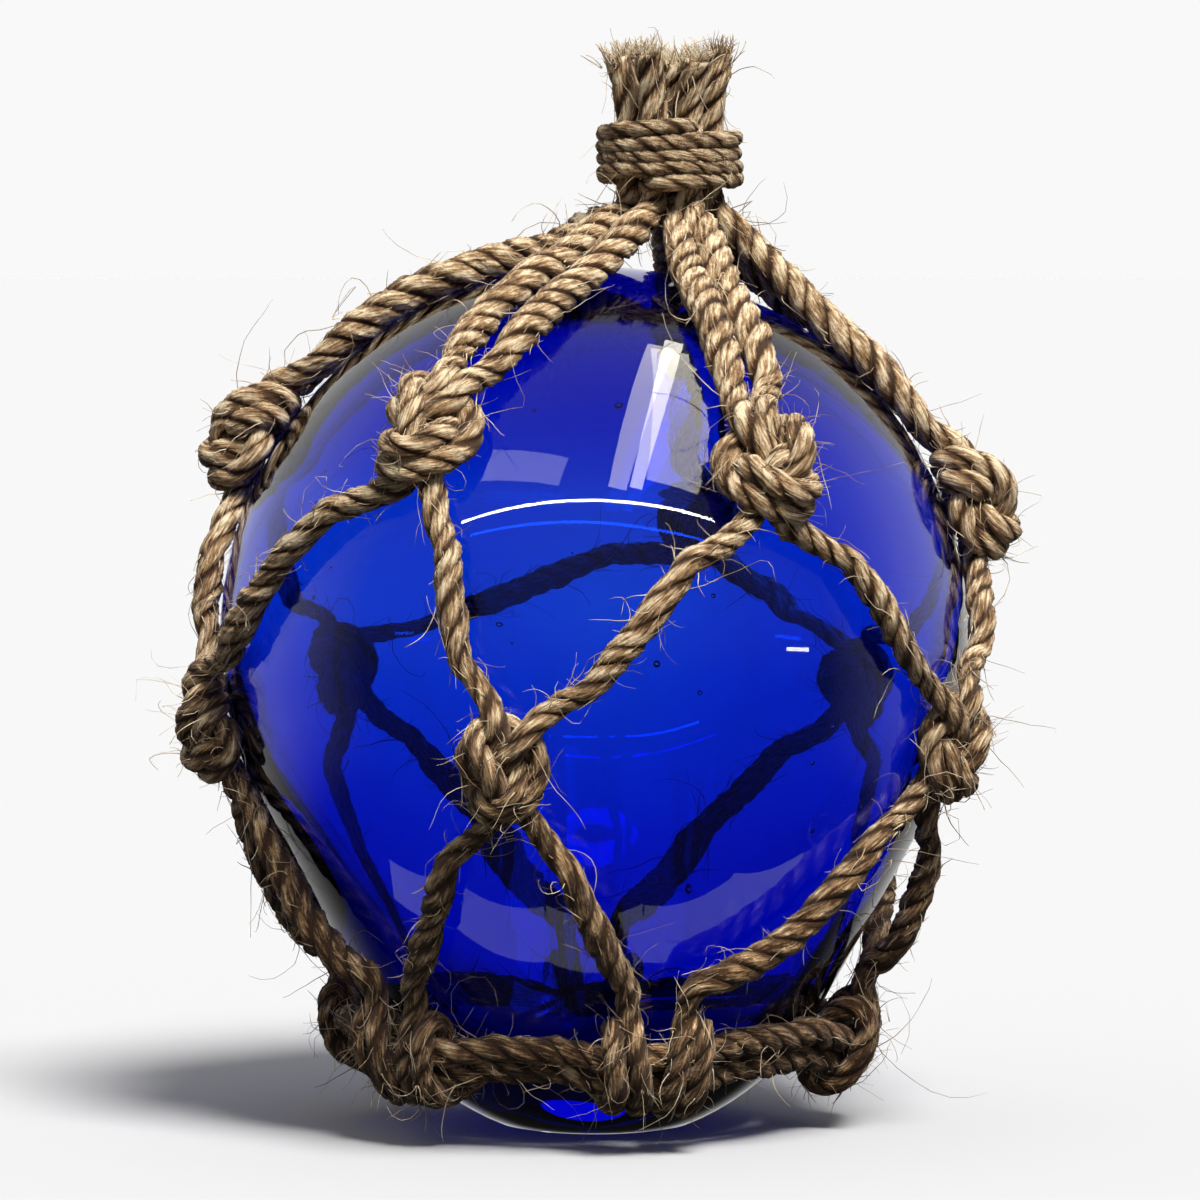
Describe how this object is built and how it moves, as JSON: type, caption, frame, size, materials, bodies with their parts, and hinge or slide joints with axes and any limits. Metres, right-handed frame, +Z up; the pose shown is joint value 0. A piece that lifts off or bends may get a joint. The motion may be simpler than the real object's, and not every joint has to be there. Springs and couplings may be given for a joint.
{
  "type": "glass fishing float in a knotted net",
  "caption": "Cobalt glass float ball, tapering a little to its lower end, in a hand-knotted jute net that is gathered and whipped above it.",
  "frame": {"origin": "centre of the small flat under the glass, on which the float stands", "axes": "+Z up through the ball to the gathered strands, -Y towards the front of the picture"},
  "size_m": [0.0879, 0.0854, 0.1094],
  "materials": {
    "cobalt_glass": "clear, gloss, a few small bubbles",
    "jute_twine": "matt, hairy, plied",
    "binding_twine": "matt, hairy, plied"
  },
  "bodies": {
    "root": {"glass_float": "cobalt_glass", "jute_net": "jute_twine", "gather_whipping": "binding_twine"}
  },
  "joints": []
}
